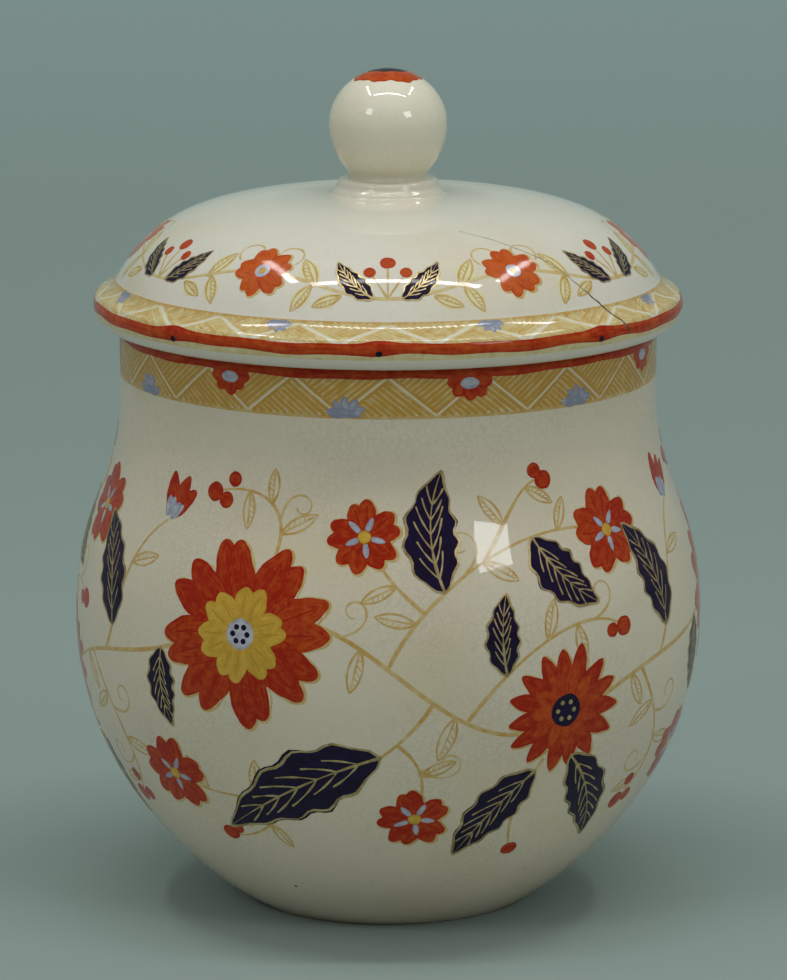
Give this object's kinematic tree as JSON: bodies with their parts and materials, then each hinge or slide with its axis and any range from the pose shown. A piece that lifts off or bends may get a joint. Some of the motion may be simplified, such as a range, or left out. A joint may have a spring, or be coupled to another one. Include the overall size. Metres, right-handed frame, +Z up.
{
  "type": "lidded sugar box",
  "caption": "Round-bellied glazed earthenware box with a ring foot, an upright neck and a loose domed lid with a ball knob, painted with flowers, for keeping sugar on the table.",
  "frame": {"origin": "centre of the foot ring's resting plane", "axes": "+Z up along the axis of the pot, -Y towards the viewer of the picture"},
  "size_m": [0.0938, 0.0938, 0.125],
  "materials": {
    "jar_glaze": "glossy cream white glaze with fine crazing",
    "lid_glaze": "glossy cream white glaze with fine crazing",
    "red_enamel": "hand painted iron red enamel, streaked by the brush",
    "blue_enamel": "dark cobalt blue enamel",
    "grey_enamel": "thin blue grey enamel wash",
    "ochre_print": "ochre printed line under the glaze",
    "yellow_enamel": "yellow enamel wash",
    "gilding": "thin fired gold line, part worn"
  },
  "bodies": {
    "jar": {"jar": "jar_glaze"},
    "lid": {"lid": "lid_glaze", "knob": "lid_glaze"}
  },
  "joints": [
    {"name": "lid_lift", "type": "slide", "parent": "jar", "child": "lid", "axis": [0, 0, 1], "range_m": [0, 0.08]}
  ]
}
